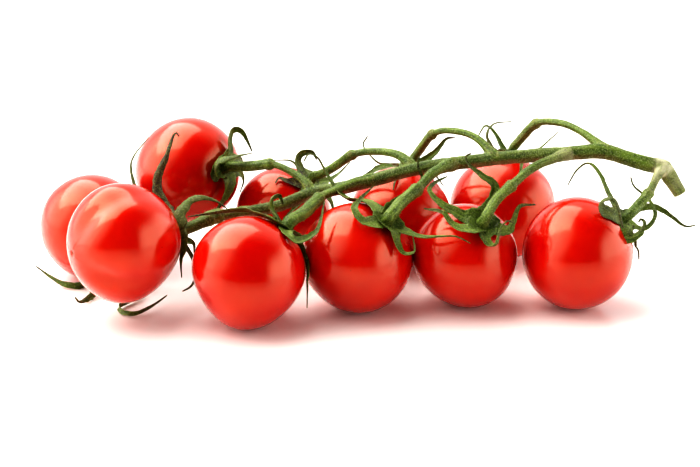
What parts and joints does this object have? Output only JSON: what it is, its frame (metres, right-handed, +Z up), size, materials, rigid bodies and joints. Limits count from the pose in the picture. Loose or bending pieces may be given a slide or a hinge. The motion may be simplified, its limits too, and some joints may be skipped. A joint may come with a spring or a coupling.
{
  "type": "truss of tomatoes",
  "caption": "Vine of ripe cherry tomatoes lying on a table: round red fruits on one branching green stem, each with a curled green calyx.",
  "frame": {"origin": "middle of the truss's footprint, on the surface it lies on", "axes": "+X along the truss towards the cut end of the main stem, +Y towards the back row of fruits, +Z up"},
  "size_m": [0.1972, 0.0928, 0.049],
  "materials": {
    "stem_green": "mottled green plant stem with fine hairs",
    "stalk_green": "mid-green plant stalk with a paler knuckle",
    "calyx_green": "leafy green sepals, dry and brown at the tips",
    "tomato_skin": "smooth glossy red tomato skin"
  },
  "bodies": {
    "root": {"main_stem": "stem_green", "stalk_01": "stalk_green", "stalk_02": "stalk_green", "stalk_03": "stalk_green", "stalk_04": "stalk_green", "stalk_05": "stalk_green", "stalk_06": "stalk_green", "stalk_07": "stalk_green", "stalk_08": "stalk_green", "stalk_09": "stalk_green", "stalk_10": "stalk_green", "calyx_01": "calyx_green", "calyx_02": "calyx_green", "calyx_03": "calyx_green", "calyx_04": "calyx_green", "calyx_05": "calyx_green", "calyx_06": "calyx_green", "calyx_07": "calyx_green", "calyx_08": "calyx_green", "calyx_09": "calyx_green", "calyx_10": "calyx_green", "tomato_01": "tomato_skin", "tomato_02": "tomato_skin", "tomato_03": "tomato_skin", "tomato_04": "tomato_skin", "tomato_05": "tomato_skin", "tomato_06": "tomato_skin", "tomato_07": "tomato_skin", "tomato_08": "tomato_skin", "tomato_09": "tomato_skin", "tomato_10": "tomato_skin"}
  },
  "joints": []
}
